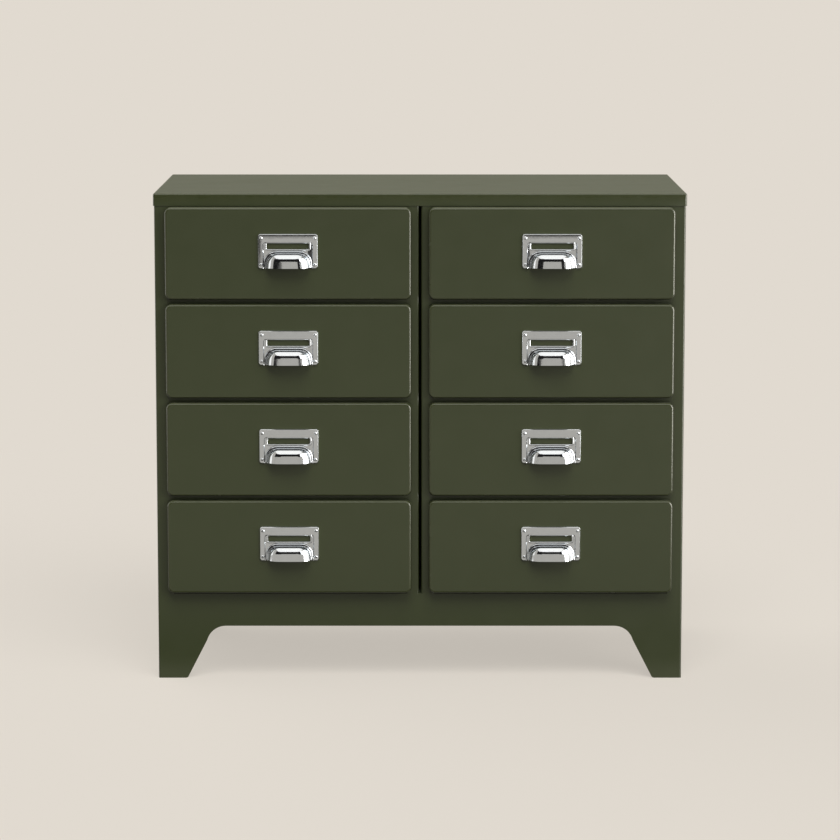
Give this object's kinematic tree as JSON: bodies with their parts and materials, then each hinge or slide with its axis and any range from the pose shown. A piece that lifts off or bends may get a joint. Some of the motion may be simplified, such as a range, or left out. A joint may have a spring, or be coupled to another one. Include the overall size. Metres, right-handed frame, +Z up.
{
  "type": "metal drawer cabinet",
  "caption": "Low painted steel cabinet with side-by-side columns of sliding drawers, bright cup handles with label windows, and an arched plinth for feet.",
  "frame": {"origin": "middle of the footprint on the floor, under the middle of the whole object's box", "axes": "+X to the viewer's right across the two columns, +Y to the back, +Z up"},
  "size_m": [0.7024, 0.3856, 0.65],
  "materials": {
    "olive_paint": "dark olive green powder coat, satin",
    "bright_nickel": "polished bright nickel plate",
    "zinc_steel": "bright zinc-plated steel",
    "nylon": "natural white nylon",
    "rubber": "black rubber"
  },
  "bodies": {
    "cabinet": {"top_panel": "olive_paint", "left_side_panel": "olive_paint", "right_side_panel": "olive_paint", "left_divider_panel": "olive_paint", "right_divider_panel": "olive_paint", "back_panel": "olive_paint", "base_panel": "olive_paint", "front_plinth": "olive_paint", "rear_plinth": "olive_paint", "left_cross_rails": "olive_paint", "right_cross_rails": "olive_paint", "head_rails": "olive_paint", "sill_rails": "olive_paint", "left_runners": "zinc_steel", "right_runners": "zinc_steel", "runner_pads": "nylon", "drawer_bumpers": "rubber", "foot_glides": "rubber", "back_rivets": "zinc_steel"},
    "left_drawer_1": {"left_drawer_1_front": "olive_paint", "left_drawer_1_tray": "olive_paint", "left_drawer_1_handle": "bright_nickel", "left_drawer_1_rivets": "bright_nickel", "left_drawer_1_glides": "nylon"},
    "left_drawer_2": {"left_drawer_2_front": "olive_paint", "left_drawer_2_tray": "olive_paint", "left_drawer_2_handle": "bright_nickel", "left_drawer_2_rivets": "bright_nickel", "left_drawer_2_glides": "nylon"},
    "left_drawer_3": {"left_drawer_3_front": "olive_paint", "left_drawer_3_tray": "olive_paint", "left_drawer_3_handle": "bright_nickel", "left_drawer_3_rivets": "bright_nickel", "left_drawer_3_glides": "nylon"},
    "left_drawer_4": {"left_drawer_4_front": "olive_paint", "left_drawer_4_tray": "olive_paint", "left_drawer_4_handle": "bright_nickel", "left_drawer_4_rivets": "bright_nickel", "left_drawer_4_glides": "nylon"},
    "right_drawer_1": {"right_drawer_1_front": "olive_paint", "right_drawer_1_tray": "olive_paint", "right_drawer_1_handle": "bright_nickel", "right_drawer_1_rivets": "bright_nickel", "right_drawer_1_glides": "nylon"},
    "right_drawer_2": {"right_drawer_2_front": "olive_paint", "right_drawer_2_tray": "olive_paint", "right_drawer_2_handle": "bright_nickel", "right_drawer_2_rivets": "bright_nickel", "right_drawer_2_glides": "nylon"},
    "right_drawer_3": {"right_drawer_3_front": "olive_paint", "right_drawer_3_tray": "olive_paint", "right_drawer_3_handle": "bright_nickel", "right_drawer_3_rivets": "bright_nickel", "right_drawer_3_glides": "nylon"},
    "right_drawer_4": {"right_drawer_4_front": "olive_paint", "right_drawer_4_tray": "olive_paint", "right_drawer_4_handle": "bright_nickel", "right_drawer_4_rivets": "bright_nickel", "right_drawer_4_glides": "nylon"}
  },
  "joints": [
    {"name": "left_drawer_1_slide", "type": "slide", "parent": "cabinet", "child": "left_drawer_1", "axis": [0, -1, 0], "range_m": [0, 0.25]},
    {"name": "left_drawer_2_slide", "type": "slide", "parent": "cabinet", "child": "left_drawer_2", "axis": [0, -1, 0], "range_m": [0, 0.25]},
    {"name": "left_drawer_3_slide", "type": "slide", "parent": "cabinet", "child": "left_drawer_3", "axis": [0, -1, 0], "range_m": [0, 0.25]},
    {"name": "left_drawer_4_slide", "type": "slide", "parent": "cabinet", "child": "left_drawer_4", "axis": [0, -1, 0], "range_m": [0, 0.25]},
    {"name": "right_drawer_1_slide", "type": "slide", "parent": "cabinet", "child": "right_drawer_1", "axis": [0, -1, 0], "range_m": [0, 0.25]},
    {"name": "right_drawer_2_slide", "type": "slide", "parent": "cabinet", "child": "right_drawer_2", "axis": [0, -1, 0], "range_m": [0, 0.25]},
    {"name": "right_drawer_3_slide", "type": "slide", "parent": "cabinet", "child": "right_drawer_3", "axis": [0, -1, 0], "range_m": [0, 0.25]},
    {"name": "right_drawer_4_slide", "type": "slide", "parent": "cabinet", "child": "right_drawer_4", "axis": [0, -1, 0], "range_m": [0, 0.25]}
  ]
}
